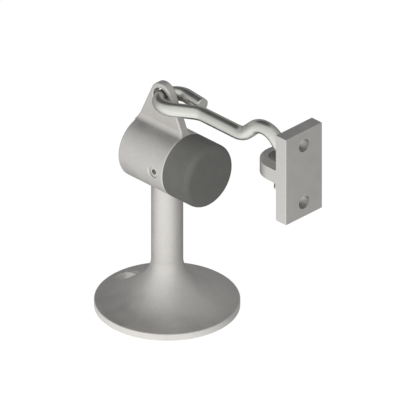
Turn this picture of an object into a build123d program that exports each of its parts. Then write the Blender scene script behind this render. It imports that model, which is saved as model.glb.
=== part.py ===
from build123d import *
import os
from math import asin, atan2, cos, degrees, hypot, pi, radians, sin, sqrt, tan

# Floor door stop with a swinging hook, and the strike plate that it drops into. Millimetres and degrees.
# The foot stands on the floor at Z = 0 on the Z axis, the bumper faces -Y, and X = 0 is the middle plane.

# Foot and post
foot_diameter = 63.5
foot_rim_height = 3.15
foot_rim_slope = 7.0
foot_edge_round = 0.5
flare_top = 23.5
flare_post_hold = 7.6
flare_rim_hold = 16.0
post_diameter = 14.0

# Underside of the foot: the central anchor thread, and one countersunk screw hole at the back
anchor_thread_diameter = 8.0
anchor_thread_depth = 22.0
back_screw_from_rim = 7.15
back_screw_hole_diameter = 5.5
back_screw_sink_width = 2.45
back_screw_floor_web = 0.6

# Barrel that holds the bumper
bore_diameter = 21.0
barrel_wall = 4.2
barrel_axis_height = 74.3
barrel_length = 27.5
barrel_front_from_post = 11.75
barrel_end_wall = 6.5
barrel_back_round = 1.1
barrel_rim_round = 0.8

# Lug on the barrel, with the eye for the hook
lug_thickness = 4.2
lug_foot_round = 3.2
lug_edge_round = 0.8
eye_play = 2.85
eye_wall = 1.5
eye_rise = 14.4
nose_above_eye = 0.9
eye_edge_round = 0.5

# Rubber bumper, and the set screw that locks its stem
bumper_length = 15.1
bumper_edge_round = 2.8
bumper_crown = 0.5
stem_clearance = 0.15
stem_end_gap = 1.0
set_screw_diameter = 5.0
set_screw_clearance = 0.05
set_screw_from_front = 6.0
set_screw_recess = 0.9
set_screw_mouth_chamfer = 0.5
set_screw_socket = 2.5
set_screw_socket_depth = 2.0

# Bent rod of the hook: the open loop in the eye, the straight shank and the gooseneck
rod_diameter = 6.35
rod_end_chamfer = 0.4
seat_gap = 0.6
seat_angle = 50.5
loop_inside_width = 8.25
loop_inside_radius = 3.625
short_leg_length = 17.95
short_leg_gap = 0.15
long_leg_straight = 0.35
knee_spread = 12.1
knee_radius = 9.0
shank_straight = 19.95
neck_radius = 9.7
neck_climb = 43.1
neck_straight = 5.15
crown_radius = 10.2
crown_dip = 48.4
crown_straight = 2.15
drop_radius = 9.2
drop_toe_in = 6.5
tip_straight = 14.0

# Strike plate, placed by the hook that drops into it
ear_play = 4.55
ear_wall = 3.05
ear_thickness = 6.6
ear_below_drop = 1.7
ear_reach = 14.15
ear_edge_round = 0.25
ear_root_round = 0.8
plate_width = 22.2
plate_height = 42.6
plate_thickness = 6.3
plate_middle_below_ear = 3.55
plate_edge_round = 0.2
plate_hole_diameter = 6.3
plate_hole_pitch = 28.5
plate_sink_width = 1.4

# Sizes that follow from the ones above
foot_radius = foot_diameter / 2
post_radius = post_diameter / 2
rod_radius = rod_diameter / 2
eye_radius = (rod_diameter + eye_play) / 2
nose_radius = eye_radius + eye_wall
barrel_radius = bore_diameter / 2 + barrel_wall
barrel_front = -barrel_front_from_post
barrel_back = barrel_length - barrel_front_from_post
barrel_top = barrel_axis_height + barrel_radius
barrel_middle = (barrel_front + barrel_back) / 2
bore_depth = barrel_length - barrel_end_wall
stem_radius = bore_diameter / 2 - stem_clearance
set_screw_place = barrel_front + set_screw_from_front
eye_height = barrel_top + eye_rise
nose_height = eye_height + nose_above_eye
ear_hole_radius = (rod_diameter + ear_play) / 2


def laid_on_y(solid, start):
    """Lays a solid built up along Z on the barrel's axis, from Y = start towards -Y."""
    return Pos(0, start, barrel_axis_height) * Rot(90, 0, 0) * solid


def foot_and_post():
    """Flared foot that sweeps up into the round post, turned in one piece."""
    slope = radians(foot_rim_slope)
    rim = Vector(foot_radius, 0, foot_rim_height)
    neck = Vector(post_radius, 0, flare_top)
    rim_pull = rim + Vector(-cos(slope), 0, sin(slope)) * flare_rim_hold
    neck_pull = neck - Vector(0, 0, flare_post_hold)
    with BuildPart() as piece:
        with BuildSketch(Plane.XZ):
            with BuildLine():
                Bezier(*[(p.X, p.Z) for p in (rim, rim_pull, neck_pull, neck)])
                Polyline(
                    (post_radius, flare_top),
                    (post_radius, barrel_axis_height),
                    (0, barrel_axis_height),
                    (0, 0),
                    (foot_radius, 0),
                    (foot_radius, foot_rim_height),
                )
            make_face()
        revolve(axis=Axis.Z)
        rims = piece.edges().filter_by(GeomType.CIRCLE).filter_by(lambda e: e.radius > foot_radius - 0.01)
        fillet(rims.sort_by(Axis.Z)[-1], foot_edge_round)
    return piece.part


def foot_cuts():
    """Anchor thread up the middle of the foot, and the countersunk screw hole at its back."""
    anchor = Pos(0, 0, anchor_thread_depth / 2) * Cylinder(anchor_thread_diameter / 2, anchor_thread_depth)
    hole_radius = back_screw_hole_diameter / 2
    head_radius = hole_radius + back_screw_sink_width
    hole = Pos(0, 0, flare_top / 2) * Cylinder(hole_radius, flare_top)
    sink = Pos(0, 0, back_screw_sink_width / 2) * Cone(hole_radius, head_radius, back_screw_sink_width)
    head_room = Pos(0, 0, back_screw_sink_width + flare_top / 2) * Cylinder(head_radius, flare_top)
    screw_hole = hole + Pos(0, 0, back_screw_floor_web) * (sink + head_room)
    return anchor + Pos(0, foot_radius - back_screw_from_rim, 0) * screw_hole


def barrel():
    """Solid round barrel along Y, with a rounded back and a small round on its front rim."""
    with BuildPart() as piece:
        Cylinder(barrel_radius, barrel_length, align=(Align.CENTER, Align.CENTER, Align.MIN))
        ends = piece.edges().filter_by(GeomType.CIRCLE).sort_by(Axis.Z)
        fillet(ends[0], barrel_back_round)
        fillet(piece.edges().filter_by(GeomType.CIRCLE).sort_by(Axis.Z)[-1], barrel_rim_round)
    return laid_on_y(piece.part, barrel_back)


def lug_outline():
    """Side view of the lug: a round nose with straight sides down to the ends of the barrel."""
    foot_half = barrel_length / 2
    rise = nose_height - barrel_top
    lean = atan2(foot_half, rise) - asin(nose_radius / hypot(foot_half, rise))
    side_out = nose_radius * cos(lean)
    side_up = nose_height + nose_radius * sin(lean)
    with BuildSketch(Plane.YZ) as outline:
        with BuildLine():
            ThreePointArc(
                (barrel_middle + side_out, side_up),
                (barrel_middle, nose_height + nose_radius),
                (barrel_middle - side_out, side_up),
            )
            Polyline(
                (barrel_middle - side_out, side_up),
                (barrel_front, barrel_top),
                (barrel_front, barrel_axis_height),
                (barrel_back, barrel_axis_height),
                (barrel_back, barrel_top),
                (barrel_middle + side_out, side_up),
            )
        make_face()
    return outline.sketch


def lug_section():
    """End view of the lug: a thin web whose foot blends into the barrel on both sides."""
    half = lug_thickness / 2
    reach = barrel_radius + lug_foot_round
    blend_x = half + lug_foot_round
    blend_z = sqrt(reach**2 - blend_x**2)
    touch_x = blend_x * barrel_radius / reach
    touch_z = barrel_axis_height + blend_z * barrel_radius / reach
    web_z = barrel_axis_height + blend_z
    half_turn = pi + atan2(blend_z, blend_x) / 2
    middle_x = blend_x + lug_foot_round * cos(half_turn)
    middle_z = web_z + lug_foot_round * sin(half_turn)
    top = nose_height + 2 * nose_radius
    with BuildSketch(Plane.XZ) as section:
        with BuildLine():
            ThreePointArc((touch_x, touch_z), (middle_x, middle_z), (half, web_z))
            Polyline((half, web_z), (half, top), (-half, top), (-half, web_z))
            ThreePointArc((-half, web_z), (-middle_x, middle_z), (-touch_x, touch_z))
            Line((-touch_x, touch_z), (touch_x, touch_z))
        make_face()
    return section.sketch


def lug():
    """Lug standing on the barrel, with rounded edges and the eye that carries the hook."""
    side = extrude(lug_outline(), amount=barrel_radius, both=True)
    web = extrude(lug_section(), amount=2 * barrel_length, both=True)
    plate = side & web
    high_edges = plate.edges().filter_by(lambda e: e.center().Z > barrel_top)
    plate = fillet(high_edges.filter_by(lambda e: abs(e.center().X) > lug_thickness / 4), lug_edge_round)
    eye = Pos(0, barrel_middle, eye_height) * Rot(0, 90, 0) * Cylinder(eye_radius, 2 * barrel_radius)
    plate = plate - eye
    mouths = plate.edges().filter_by(GeomType.CIRCLE).filter_by(lambda e: abs(e.radius - eye_radius) < 0.001)
    return fillet(mouths, eye_edge_round)


def set_screw_bore():
    """Threaded hole through the barrel's wall on the -X side, with a chamfered mouth."""
    radius = set_screw_diameter / 2 + set_screw_clearance
    hole = Cylinder(radius, barrel_radius, align=(Align.CENTER, Align.CENTER, Align.MAX))
    mouth = Cone(radius, radius + 2 * set_screw_mouth_chamfer, 2 * set_screw_mouth_chamfer)
    return Pos(-barrel_radius, set_screw_place, barrel_axis_height) * Rot(0, -90, 0) * (hole + mouth)


def stop_body():
    """The one casting: foot, post, barrel and lug."""
    body = foot_and_post() + barrel() + lug()
    bore = laid_on_y(Cylinder(bore_diameter / 2, bore_depth), barrel_front + bore_depth / 2)
    return body - bore - foot_cuts() - set_screw_bore()


def rubber_bumper():
    """Moulded bumper with a slightly domed face and a round edge, and the stem that sits in the barrel."""
    stem_length = bore_depth - stem_end_gap
    dome_radius = (barrel_radius**2 + bumper_crown**2) / (2 * bumper_crown)
    dome_angle = degrees(asin(barrel_radius / dome_radius))
    with BuildPart() as piece:
        with BuildSketch(Plane.XZ) as profile:
            with BuildLine():
                dome = JernArc((0, bumper_length), (1, 0), dome_radius, -dome_angle)
                Polyline(
                    dome @ 1,
                    (barrel_radius, 0),
                    (stem_radius, 0),
                    (stem_radius, -stem_length),
                    (0, -stem_length),
                    (0, bumper_length),
                )
            make_face()
            rim = profile.vertices().filter_by(lambda v: v.X > barrel_radius - 0.01).sort_by(Axis.Y)[-1]
            fillet(rim, bumper_edge_round)
        revolve(axis=Axis.Z)
    return laid_on_y(piece.part, barrel_front)


def bumper_set_screw():
    """Socket set screw in the barrel's wall, with its flat end on the bumper's stem."""
    outer = barrel_radius - set_screw_recess
    length = outer - stem_radius
    screw = Cylinder(set_screw_diameter / 2, length, align=(Align.CENTER, Align.CENTER, Align.MAX))
    hexagon = RegularPolygon(set_screw_socket / 2, 6, major_radius=False)
    socket = extrude(hexagon, amount=-set_screw_socket_depth)
    return Pos(-outer, set_screw_place, barrel_axis_height) * Rot(0, -90, 0) * (screw - socket)


def hook_route():
    """Corners of the rod's middle line and the bend at each, from the loop's cut end to the hook's tip."""
    seat = eye_radius - rod_radius - seat_gap
    level = eye_height + seat * sin(radians(seat_angle))
    apex = barrel_middle - seat * cos(radians(seat_angle))
    side = loop_inside_width / 2 + rod_radius
    loop_radius = loop_inside_radius + rod_radius

    knee_turn = atan2(side, knee_spread)
    knee_pull = knee_radius * tan(knee_turn / 2)
    knee = apex - loop_radius - long_leg_straight - knee_pull
    shank = knee - knee_spread
    cut_end = apex - short_leg_length
    long_leg_there = (knee - cut_end) * tan(knee_turn) - side
    cut_side = long_leg_there + (rod_diameter + short_leg_gap) / cos(knee_turn)

    climb = radians(neck_climb)
    dip = radians(crown_dip)
    toe = radians(drop_toe_in)
    neck_pull = neck_radius * tan(climb / 2)
    crown_pull = crown_radius * tan((climb + dip) / 2)
    drop_pull = drop_radius * tan((pi / 2 - dip + toe) / 2)
    neck = Vector(0, shank - knee_pull - shank_straight - neck_pull, level)
    crown = neck + Vector(0, -cos(climb), sin(climb)) * (neck_pull + neck_straight + crown_pull)
    drop = crown + Vector(0, -cos(dip), -sin(dip)) * (crown_pull + crown_straight + drop_pull)
    tip = drop + Vector(0, sin(toe), -cos(toe)) * (drop_pull + tip_straight)

    cut = Vector(cut_side, cut_end, level)
    corners = [
        (Vector(side, apex, level), loop_radius),
        (Vector(-side, apex, level), loop_radius),
        (Vector(-side, knee, level), knee_radius),
        (Vector(0, shank, level), knee_radius),
        (neck, neck_radius),
        (crown, crown_radius),
        (drop, drop_radius),
    ]
    return cut, corners, tip


def hook():
    """Round rod bent into an open loop at one end and a gooseneck at the other."""
    cut, corners, tip = hook_route()
    places = [place for place, bend in corners]
    path = FilletPolyline(cut, *places, tip, radius=[bend for place, bend in corners])
    section = Plane(origin=path @ 0, z_dir=path % 0) * Circle(rod_radius)
    rod = sweep(section, path=path)
    ends = rod.faces().filter_by(GeomType.PLANE).edges()
    return chamfer(ends, rod_end_chamfer)


def strike_plate():
    """Cast plate for the door, with two countersunk holes and the level ear that takes the hook's tip."""
    cut, corners, tip = hook_route()
    hole_place = tip.Y
    door_face = hole_place - ear_reach
    front_face = door_face + plate_thickness
    ear_top = corners[-1][0].Z - ear_below_drop
    middle_height = ear_top - plate_middle_below_ear
    half_width = plate_width / 2
    half_height = plate_height / 2

    plate = Box(plate_width, plate_thickness, plate_height)
    plate = Pos(0, door_face + plate_thickness / 2, middle_height) * plate
    end_middle = hole_place + ear_hole_radius + ear_wall - half_width
    ear_length = end_middle - door_face
    ear = Pos(0, door_face + ear_length / 2) * Rectangle(plate_width, ear_length)
    ear += Pos(0, end_middle) * Circle(half_width)
    casting = plate + extrude(Pos(0, 0, ear_top) * ear, amount=-ear_thickness)

    ear_middle = ear_top - ear_thickness / 2
    roots = casting.edges().filter_by(Axis.X).filter_by(lambda e: abs(e.center().Y - front_face) < 0.01)
    roots = roots.filter_by(lambda e: abs(e.center().Z - ear_middle) < ear_thickness / 2 + 0.01)
    casting = fillet(roots, ear_root_round)
    rims = casting.edges().filter_by(lambda e: e.center().Y > front_face + ear_root_round + 0.01)
    rims = rims.filter_by(lambda e: abs(abs(e.center().Z - ear_middle) - ear_thickness / 2) < 0.01)
    casting = fillet(rims, ear_edge_round)
    sides = casting.edges().filter_by(Axis.Z).filter_by(lambda e: abs(abs(e.center().X) - half_width) < 0.01)
    ends = casting.edges().filter_by(lambda e: abs(abs(e.center().Z - middle_height) - half_height) < 0.01)
    casting = fillet(set(sides + ends), plate_edge_round)

    casting -= Pos(0, hole_place, ear_middle) * Cylinder(ear_hole_radius, 2 * ear_thickness)
    rings = casting.edges().filter_by(GeomType.CIRCLE)
    casting = fillet(rings.filter_by(lambda e: abs(e.radius - ear_hole_radius) < 0.001), ear_edge_round)

    hole_radius = plate_hole_diameter / 2
    screw_hole = Pos(0, 0, plate_thickness / 2) * Cylinder(hole_radius, 2 * plate_thickness)
    sink = Cone(hole_radius, hole_radius + plate_sink_width, plate_sink_width)
    screw_hole += Pos(0, 0, plate_thickness - plate_sink_width / 2) * sink
    for side in (-1, 1):
        height = middle_height + side * plate_hole_pitch / 2
        casting -= Pos(0, door_face, height) * Rot(-90, 0, 0) * screw_hole
    return casting


parts = {
    "stop_body": stop_body(),
    "rubber_bumper": rubber_bumper(),
    "bumper_set_screw": bumper_set_screw(),
    "hook": hook(),
    "strike_plate": strike_plate(),
}

os.makedirs("parts", exist_ok=True)
for name, shape in parts.items():
    export_step(shape, f"parts/{name}.step")
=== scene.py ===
# %% [markdown]
# # A floor door stop with a swinging hook
# The stop is a satin plated casting: a flared foot, a round post, a barrel that holds a rubber bumper, and a
# lug with an eye. A polished rod hangs in the eye and drops its gooseneck tip into the ear of a small strike
# plate. Every solid comes from the CAD model with its place and size fixed, so the work here is finishing,
# light and a camera. We load that frame first, because everything else is placed by it.

# %% Load the CAD frame
from math import radians

import bpy
from mathutils import Euler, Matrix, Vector

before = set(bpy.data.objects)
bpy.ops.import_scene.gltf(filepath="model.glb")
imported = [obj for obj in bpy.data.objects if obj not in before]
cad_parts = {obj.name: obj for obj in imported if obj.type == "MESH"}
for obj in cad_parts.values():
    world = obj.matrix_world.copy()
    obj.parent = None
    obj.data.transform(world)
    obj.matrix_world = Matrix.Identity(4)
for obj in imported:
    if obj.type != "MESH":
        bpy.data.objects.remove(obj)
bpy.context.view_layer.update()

# %% [markdown]
# ## Camera
# The picture is a dimetric view: no vanishing points, turned 45 degrees and tipped down 30 degrees. An
# orthographic camera gives that directly. Its scale comes from the foot, whose 63.5 mm width spans 146.4
# pixels, and its aim from the pixel where the middle of the foot's underside stands in the frame.

# %% Camera
MM = 0.001
PICTURE = 416
PIXELS_PER_MM = 2.3055
FOOT_PIXEL = Vector((166.64, 303.85))
VIEW_AZIMUTH, VIEW_ELEVATION = -45.0, 30.0
CAMERA_DISTANCE = 1.0


def make_camera():
    """Orthographic camera that puts the middle of the foot at its pixel in the frame."""
    turn = Euler((radians(90 - VIEW_ELEVATION), 0, radians(VIEW_AZIMUTH)))
    right, up, back = turn.to_matrix().col
    middle = Vector((PICTURE - 1, PICTURE - 1)) / 2
    offset = (middle - FOOT_PIXEL) / PIXELS_PER_MM * MM
    data = bpy.data.cameras.new("view")
    data.type = "ORTHO"
    data.ortho_scale = PICTURE / PIXELS_PER_MM * MM
    camera = bpy.data.objects.new("view", data)
    camera.rotation_euler = turn
    camera.location = right * offset.x - up * offset.y + back * CAMERA_DISTANCE
    bpy.context.scene.collection.objects.link(camera)
    bpy.context.scene.camera = camera
    return camera


camera = make_camera()
print("picture width in mm:", round(camera.data.ortho_scale / MM, 1))

# %% [markdown]
# ## Helpers for materials
# Every finish here is a Principled BSDF with a few maps, so three short helpers keep the recipes readable:
# one adds a node and fills its sockets, one opens a node group with named inputs and outputs, and one places
# such a group in a material.

# %% Node helpers
def add_node(tree, kind, settings=None, **inputs):
    """Adds a shader node. Settings are its properties. Inputs fill sockets by name, with _ for a space."""
    node = tree.nodes.new(kind)
    for name, value in (settings or {}).items():
        setattr(node, name, value)
    for name, value in inputs.items():
        node.inputs[name.replace("_", " ")].default_value = value
    return node


def new_group(name, inputs, outputs):
    """Opens a shader node group. Inputs map a name to its default, and outputs map a name to its type."""
    group = bpy.data.node_groups.new(name, "ShaderNodeTree")
    for label, value in inputs.items():
        socket = group.interface.new_socket(label, in_out="INPUT", socket_type="NodeSocketFloat")
        socket.default_value = value
    for label, kind in outputs.items():
        group.interface.new_socket(label, in_out="OUTPUT", socket_type=kind)
    return group, group.nodes.new("NodeGroupInput"), group.nodes.new("NodeGroupOutput")


def place_group(material, group, **inputs):
    """Places a node group in a material with its own values."""
    node = material.node_tree.nodes.new("ShaderNodeGroup")
    node.node_tree = group
    for name, value in inputs.items():
        node.inputs[name.replace("_", " ")].default_value = value
    return node


print("helpers:", ", ".join(helper.__name__ for helper in (add_node, new_group, place_group)))

# %% [markdown]
# ## Shared effect: cast grain
# A plated casting is never quite even. It has a fine bead-blasted grain, a fraction of a millimetre across,
# and slow clouds where the polishing was heavier. One group makes the grain as a height for bump, the clouds
# by themselves for roughness, and both as a tone around one that darkens or lightens a colour. It reads
# object coordinates, so the grain travels with the hook when it swings.

# %% Cast grain group
NOISE_DETAIL = {"Grain": 3.0, "Cloud": 2.0}
NOISE_ROUGHNESS = 0.55
NOISE_GAIN = 4.0


def cast_grain_group():
    group, given, result = new_group(
        "cast_grain",
        {"Grain Size mm": 0.25, "Cloud Size mm": 14.0, "Grain Tone": 0.06, "Cloud Tone": 0.05},
        {"Height": "NodeSocketFloat", "Tone": "NodeSocketFloat", "Clouds": "NodeSocketFloat"},
    )
    link = group.links.new
    place = add_node(group, "ShaderNodeTexCoord")
    layers = {}
    for label, detail in NOISE_DETAIL.items():
        scale = add_node(group, "ShaderNodeMath", {"operation": "DIVIDE"})
        scale.inputs[0].default_value = 1 / MM
        link(given.outputs[label + " Size mm"], scale.inputs[1])
        noise = add_node(group, "ShaderNodeTexNoise", Detail=detail, Roughness=NOISE_ROUGHNESS)
        link(place.outputs["Object"], noise.inputs["Vector"])
        link(scale.outputs[0], noise.inputs["Scale"])
        swing = add_node(group, "ShaderNodeMath", {"operation": "MULTIPLY_ADD"})
        swing.inputs[1].default_value = NOISE_GAIN
        swing.inputs[2].default_value = -NOISE_GAIN / 2
        link(noise.outputs["Fac"], swing.inputs[0])
        tone = add_node(group, "ShaderNodeMath", {"operation": "MULTIPLY"})
        link(swing.outputs[0], tone.inputs[0])
        link(given.outputs[label + " Tone"], tone.inputs[1])
        layers[label] = (noise, tone)
    total = add_node(group, "ShaderNodeMath", {"operation": "ADD"})
    link(layers["Grain"][1].outputs[0], total.inputs[0])
    link(layers["Cloud"][1].outputs[0], total.inputs[1])
    around_one = add_node(group, "ShaderNodeMath", {"operation": "ADD"})
    around_one.inputs[1].default_value = 1.0
    link(total.outputs[0], around_one.inputs[0])
    link(layers["Grain"][0].outputs["Fac"], result.inputs["Height"])
    link(around_one.outputs[0], result.inputs["Tone"])
    link(layers["Cloud"][0].outputs["Fac"], result.inputs["Clouds"])
    return group


cast_grain = cast_grain_group()
print("cast grain nodes:", len(cast_grain.nodes))

# %% [markdown]
# ## Shared effect: painted edge highlights
# Edges are painted a little brighter in the base colour, as a painted highlight where rounded edges catch the
# light. The
# Bevel node gives the normal of an edge as if it were rounder, and where that differs from the true normal
# there is an edge. The group turns the difference into a mask.

# %% Painted edge highlight group
def painted_edge_highlight_group():
    group, given, result = new_group(
        "painted_edge_highlight",
        {"Width mm": 0.6, "Gain": 3.0},
        {"Mask": "NodeSocketFloat"},
    )
    link = group.links.new
    width = add_node(group, "ShaderNodeMath", {"operation": "MULTIPLY"})
    width.inputs[1].default_value = MM
    link(given.outputs["Width mm"], width.inputs[0])
    rounded = add_node(group, "ShaderNodeBevel", {"samples": 4})
    link(width.outputs[0], rounded.inputs["Radius"])
    true_normal = add_node(group, "ShaderNodeNewGeometry")
    gap = add_node(group, "ShaderNodeVectorMath", {"operation": "DISTANCE"})
    link(rounded.outputs["Normal"], gap.inputs[0])
    link(true_normal.outputs["Normal"], gap.inputs[1])
    mask = add_node(group, "ShaderNodeMath", {"operation": "MULTIPLY", "use_clamp": True})
    link(gap.outputs["Value"], mask.inputs[0])
    link(given.outputs["Gain"], mask.inputs[1])
    link(mask.outputs[0], result.inputs["Mask"])
    return group


painted_edge_highlight = painted_edge_highlight_group()
print("rubbed edge nodes:", len(painted_edge_highlight.nodes))

# %% [markdown]
# ## Metal finishes
# The casting, the plate, the rod and the set screw are all plated metal, so they share one recipe with
# different values: a warm grey, a roughness that the clouds vary, a tone that follows the grain, edges a
# little brighter as a painted highlight, and a shallow bump.

# %% Plated metal recipe
# How much brighter the painted edge highlight makes the colour.
EDGE_HIGHLIGHT_BRIGHTER = 1.25
ROUGHNESS_SWING = 0.04
CLOUD_LOW, CLOUD_HIGH = 0.3, 0.7


def plated_metal(name, colour, roughness, grain_mm, cloud_mm, grain_tone, cloud_tone, bump_mm, edge_highlight_gain):
    material = bpy.data.materials.new(name)
    material.use_nodes = True
    tree = material.node_tree
    link = tree.links.new
    shader = tree.nodes["Principled BSDF"]
    shader.inputs["Metallic"].default_value = 1.0

    grain = place_group(
        material, cast_grain,
        Grain_Size_mm=grain_mm, Cloud_Size_mm=cloud_mm, Grain_Tone=grain_tone, Cloud_Tone=cloud_tone,
    )
    edge = place_group(material, painted_edge_highlight, Gain=edge_highlight_gain)

    toned = add_node(tree, "ShaderNodeVectorMath", {"operation": "SCALE"})
    toned.inputs[0].default_value = colour
    link(grain.outputs["Tone"], toned.inputs["Scale"])
    # Painted highlight: a brighter copy of the colour is mixed in along the edges.
    bright = tuple(min(1.0, EDGE_HIGHLIGHT_BRIGHTER * part) for part in colour) + (1.0,)
    mixed = add_node(tree, "ShaderNodeMix", {"data_type": "RGBA"})
    mixed.inputs["B"].default_value = bright
    link(edge.outputs["Mask"], mixed.inputs["Factor"])
    link(toned.outputs[0], mixed.inputs["A"])
    link(mixed.outputs["Result"], shader.inputs["Base Color"])

    rough = add_node(
        tree, "ShaderNodeMapRange", From_Min=CLOUD_LOW, From_Max=CLOUD_HIGH,
        To_Min=roughness - ROUGHNESS_SWING, To_Max=roughness + ROUGHNESS_SWING,
    )
    link(grain.outputs["Clouds"], rough.inputs["Value"])
    link(rough.outputs["Result"], shader.inputs["Roughness"])

    bump = add_node(tree, "ShaderNodeBump", Strength=1.0, Distance=bump_mm * MM)
    link(grain.outputs["Height"], bump.inputs["Height"])
    link(bump.outputs["Normal"], shader.inputs["Normal"])
    return material


# %% [markdown]
# The casting and the plate are satin, with the strongest grain. The rod is bent from drawn stock, so it is
# smoother and mirrors the room in bands along its length. The screw is a small bright bought part. Colours
# stay near 0.6, because a plated metal darker than that looks like iron, and a paler one like chrome.

# %% The four metals
METALS = {
    "satin_casting": dict(
        colour=(0.61, 0.595, 0.575), roughness=0.54, grain_mm=0.45, cloud_mm=7.0,
        grain_tone=0.09, cloud_tone=0.04, bump_mm=0.012, edge_highlight_gain=1.2,
    ),
    "satin_plate": dict(
        colour=(0.56, 0.55, 0.535), roughness=0.52, grain_mm=0.40, cloud_mm=6.0,
        grain_tone=0.08, cloud_tone=0.03, bump_mm=0.012, edge_highlight_gain=1.2,
    ),
    "polished_rod": dict(
        colour=(0.57, 0.575, 0.54), roughness=0.25, grain_mm=0.5, cloud_mm=6.0,
        grain_tone=0.02, cloud_tone=0.05, bump_mm=0.004, edge_highlight_gain=0.6,
    ),
    "bright_screw": dict(
        colour=(0.62, 0.61, 0.59), roughness=0.42, grain_mm=0.2, cloud_mm=2.0,
        grain_tone=0.04, cloud_tone=0.05, bump_mm=0.006, edge_highlight_gain=1.2,
    ),
}
metals = {name: plated_metal(name, **values) for name, values in METALS.items()}
print("metals:", ", ".join(metals))

# %% [markdown]
# ## Rubber
# The bumper is moulded grey rubber: matt, not metallic, with a faint dusty bloom. The grain group is reused
# with a deeper bump, because moulded rubber copies the blasted mould.

# %% Bumper rubber
RUBBER_COLOUR = (0.120, 0.122, 0.113)
RUBBER_ROUGHNESS, RUBBER_GLOSS = 0.72, 0.35
RUBBER_BUMP_MM = 0.02


def moulded_rubber():
    material = bpy.data.materials.new("bumper_rubber")
    material.use_nodes = True
    tree = material.node_tree
    link = tree.links.new
    shader = tree.nodes["Principled BSDF"]
    shader.inputs["Roughness"].default_value = RUBBER_ROUGHNESS
    shader.inputs["Specular IOR Level"].default_value = RUBBER_GLOSS
    grain = place_group(
        material, cast_grain,
        Grain_Size_mm=0.4, Cloud_Size_mm=9.0, Grain_Tone=0.08, Cloud_Tone=0.08,
    )
    toned = add_node(tree, "ShaderNodeVectorMath", {"operation": "SCALE"})
    toned.inputs[0].default_value = RUBBER_COLOUR
    link(grain.outputs["Tone"], toned.inputs["Scale"])
    link(toned.outputs[0], shader.inputs["Base Color"])
    bump = add_node(tree, "ShaderNodeBump", Strength=1.0, Distance=RUBBER_BUMP_MM * MM)
    link(grain.outputs["Height"], bump.inputs["Height"])
    link(bump.outputs["Normal"], shader.inputs["Normal"])
    return material


bumper_rubber = moulded_rubber()
print("rubber nodes:", len(bumper_rubber.node_tree.nodes))

# %% [markdown]
# ## Dressing the CAD pieces
# The solids keep their own meshes, because every edge and bend that shows is already in the CAD model. Only
# their material slots change.

# %% Assign the finishes
FINISHES = {
    "stop_body": metals["satin_casting"],
    "strike_plate": metals["satin_plate"],
    "hook": metals["polished_rod"],
    "bumper_set_screw": metals["bright_screw"],
    "rubber_bumper": bumper_rubber,
}
for node, finish in FINISHES.items():
    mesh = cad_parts[node].data
    mesh.materials.clear()
    mesh.materials.append(finish)
    print(node, "has", finish.name, "on", len(mesh.polygons), "faces")

# %% [markdown]
# ## The bright side of the studio
# In the photograph each upright face has its own brightness, which depends only on the way it faces. The
# metal mirrors a studio that is bright in front, a little to the camera's left, and dim behind and on the
# right. One helper turns a direction into that side-to-side light, and both the floor and the room use it.
# Its ramp runs from 0, which is straight away from the bright side, to 1, which is straight at it.

# %% Bright side
BRIGHT_SIDE = Vector((-0.912, -0.41, 0.0))  # in front of the object, toward the camera's left
SIDE_LIGHT = {0.03: 0.10, 0.13: 0.20, 0.32: 0.33, 0.52: 0.37, 0.68: 0.66, 0.90: 0.95, 1.0: 1.0}


def grey_ramp(tree, interpolation, greys):
    """Colour ramp of plain greys, given as position: grey."""
    ramp = add_node(tree, "ShaderNodeValToRGB")
    ramp.color_ramp.interpolation = interpolation
    while len(ramp.color_ramp.elements) < len(greys):
        ramp.color_ramp.elements.new(0.5)
    for stop, (position, grey) in zip(ramp.color_ramp.elements, greys.items()):
        stop.position = position
        stop.color = (grey, grey, grey, 1.0)
    return ramp


def bright_side_light(tree, direction, dim, bright):
    """Adds nodes that fade from dim to bright as a direction turns to the studio's bright side."""
    unit = add_node(tree, "ShaderNodeVectorMath", {"operation": "NORMALIZE"})
    tree.links.new(direction, unit.inputs[0])
    along = add_node(tree, "ShaderNodeVectorMath", {"operation": "DOT_PRODUCT"})
    along.inputs[1].default_value = BRIGHT_SIDE
    tree.links.new(unit.outputs["Vector"], along.inputs[0])
    turned = add_node(tree, "ShaderNodeMapRange", From_Min=-1.0, From_Max=1.0)
    tree.links.new(along.outputs["Value"], turned.inputs["Value"])
    sides = grey_ramp(tree, "LINEAR", SIDE_LIGHT)
    tree.links.new(turned.outputs["Result"], sides.inputs["Fac"])
    fade = add_node(tree, "ShaderNodeMapRange", To_Min=dim, To_Max=bright)
    tree.links.new(sides.outputs["Color"], fade.inputs["Value"])
    return fade.outputs["Result"]


print("bright side at", [round(part, 2) for part in BRIGHT_SIDE])

# %% [markdown]
# ## Floor
# The floor is one large pale sheet. The camera sees it mostly as plain white, so the background stays clean
# but keeps a trace of the foot's soft shadow. The plain part is a touch above one, to make up for the matt
# part, which is greyer. Shiny surfaces see the lit studio floor instead.

# %% Floor
FLOOR_SIZE = 6.0
FLOOR_PLAIN_SHARE = 0.85
FLOOR_PLAIN_LIGHT = 1.1
FLOOR_GREY = (0.8, 0.8, 0.8, 1.0)
WHITE = (1.0, 1.0, 1.0, 1.0)
STUDIO_FLOOR_WHITE = (1.0, 1.0, 0.99, 1.0)
FLOOR_DIM, FLOOR_BRIGHT = 0.05, 1.42


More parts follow.
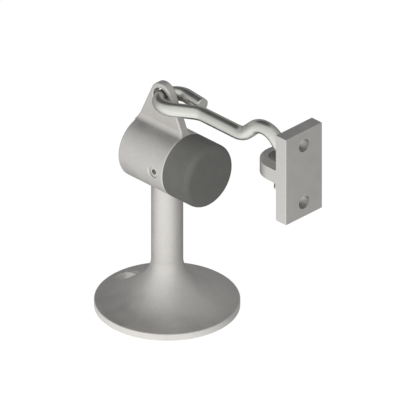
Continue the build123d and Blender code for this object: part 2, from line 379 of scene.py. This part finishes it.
def make_floor():
    bpy.ops.mesh.primitive_plane_add(size=FLOOR_SIZE)
    floor = bpy.context.object
    floor.name = "floor"
    material = bpy.data.materials.new("pale_floor")
    material.use_nodes = True
    tree = material.node_tree
    link = tree.links.new
    tree.nodes.clear()
    out = add_node(tree, "ShaderNodeOutputMaterial")
    matt = add_node(tree, "ShaderNodeBsdfDiffuse", Color=FLOOR_GREY)
    plain = add_node(tree, "ShaderNodeEmission", Color=WHITE, Strength=FLOOR_PLAIN_LIGHT)
    lit = add_node(tree, "ShaderNodeEmission", Color=STUDIO_FLOOR_WHITE)
    place = add_node(tree, "ShaderNodeTexCoord")
    side_light = bright_side_light(tree, place.outputs["Object"], FLOOR_DIM, FLOOR_BRIGHT)
    link(side_light, lit.inputs["Strength"])

    rays = add_node(tree, "ShaderNodeLightPath")
    share = add_node(tree, "ShaderNodeMath", {"operation": "MULTIPLY"})
    share.inputs[1].default_value = FLOOR_PLAIN_SHARE
    link(rays.outputs["Is Camera Ray"], share.inputs[0])
    to_camera = add_node(tree, "ShaderNodeMixShader")
    link(share.outputs[0], to_camera.inputs[0])
    link(matt.outputs[0], to_camera.inputs[1])
    link(plain.outputs[0], to_camera.inputs[2])
    to_gloss = add_node(tree, "ShaderNodeMixShader")
    link(rays.outputs["Is Glossy Ray"], to_gloss.inputs[0])
    link(to_camera.outputs[0], to_gloss.inputs[1])
    link(lit.outputs[0], to_gloss.inputs[2])
    link(to_gloss.outputs[0], out.inputs["Surface"])
    floor.data.materials.append(material)
    return floor


floor = make_floor()
print("floor side in m:", FLOOR_SIZE)

# %% [markdown]
# ## Room
# The room is bright on one side, like the floor. High behind the object hangs a dark card, as a photographer
# hangs one to give metal its contrast. Level faces and the top of the barrel mirror its edge, so they come
# out darker than the upright ones, and the round rod picks up a dark band along its upper side.
# The levels are given by height, from the horizon at 0 to straight overhead at 1. An image of a real studio
# would do the same, but a ramp is smaller and each part of it can be changed by itself.

# %% Room
ROOM_LEVELS = {0.0: 1.0, 0.40: 0.90, 0.80: 0.90, 1.0: 1.1}
ROOM_DIM, ROOM_BRIGHT = 0.28, 1.3
CARD_TOWARDS = Vector((0.2, 0.62, 0.76)).normalized()
CARD_EDGE, CARD_INSIDE = 0.80, 0.95  # cosines of the angles from its middle
CARD_SHARE = 0.22


def make_room():
    world = bpy.data.worlds.new("room")
    world.use_nodes = True
    bpy.context.scene.world = world
    tree = world.node_tree
    tree.nodes.clear()
    link = tree.links.new
    out = add_node(tree, "ShaderNodeOutputWorld")
    place = add_node(tree, "ShaderNodeTexCoord")
    height = add_node(tree, "ShaderNodeSeparateXYZ")
    link(place.outputs["Generated"], height.inputs[0])
    levels = grey_ramp(tree, "EASE", ROOM_LEVELS)
    link(height.outputs["Z"], levels.inputs["Fac"])

    lit = add_node(tree, "ShaderNodeBackground")
    link(levels.outputs["Color"], lit.inputs["Color"])
    side_light = bright_side_light(tree, place.outputs["Generated"], ROOM_DIM, ROOM_BRIGHT)
    near_card = add_node(tree, "ShaderNodeVectorMath", {"operation": "DOT_PRODUCT"})
    near_card.inputs[1].default_value = CARD_TOWARDS
    link(place.outputs["Generated"], near_card.inputs[0])
    card = add_node(
        tree, "ShaderNodeMapRange", {"interpolation_type": "SMOOTHSTEP"},
        From_Min=CARD_EDGE, From_Max=CARD_INSIDE, To_Min=1.0, To_Max=CARD_SHARE,
    )
    link(near_card.outputs["Value"], card.inputs["Value"])
    strength = add_node(tree, "ShaderNodeMath", {"operation": "MULTIPLY"})
    link(side_light, strength.inputs[0])
    link(card.outputs["Result"], strength.inputs[1])
    link(strength.outputs[0], lit.inputs["Strength"])
    plain = add_node(tree, "ShaderNodeBackground", Color=WHITE, Strength=1.0)
    rays = add_node(tree, "ShaderNodeLightPath")
    mix = add_node(tree, "ShaderNodeMixShader")
    link(rays.outputs["Is Camera Ray"], mix.inputs[0])
    link(lit.outputs[0], mix.inputs[1])
    link(plain.outputs[0], mix.inputs[2])
    link(mix.outputs[0], out.inputs["Surface"])


make_room()
print("room levels:", ROOM_LEVELS)

# %% [markdown]
# ## Lamps
# Rubber isn't a mirror, so it needs real lamps: a large soft box low in front, a little to the camera's left,
# and a second one overhead. Both are hidden from shiny surfaces, which would otherwise show them as hard
# squares on the rod and as a hot spot on the flare of the foot.

# %% Lamps
OBJECT_MIDDLE = Vector((0.0, -0.02, 0.06))


def soft_box(name, azimuth, elevation, distance, size, watts):
    """Square area lamp aimed at the object. Azimuth turns it about Z and elevation lifts it, in degrees."""
    turn = Euler((radians(90 - elevation), 0, radians(azimuth)))
    data = bpy.data.lights.new(name, "AREA")
    data.shape = "SQUARE"
    data.size = size
    data.energy = watts
    lamp = bpy.data.objects.new(name, data)
    lamp.rotation_euler = turn
    lamp.location = OBJECT_MIDDLE + turn.to_matrix().col[2] * distance
    lamp.visible_glossy = False
    bpy.context.scene.collection.objects.link(lamp)
    return lamp


key = soft_box("key", azimuth=-62, elevation=10, distance=0.7, size=0.6, watts=1.8)
overhead = soft_box("overhead", azimuth=-45, elevation=80, distance=0.7, size=0.7, watts=0.5)
print("lamps:", key.name, key.data.energy, "W,", overhead.name, overhead.data.energy, "W")

# %% [markdown]
# ## Colour view
# The Standard view keeps the colours as they are written.

# %% Colour view
bpy.context.scene.view_settings.view_transform = "Standard"
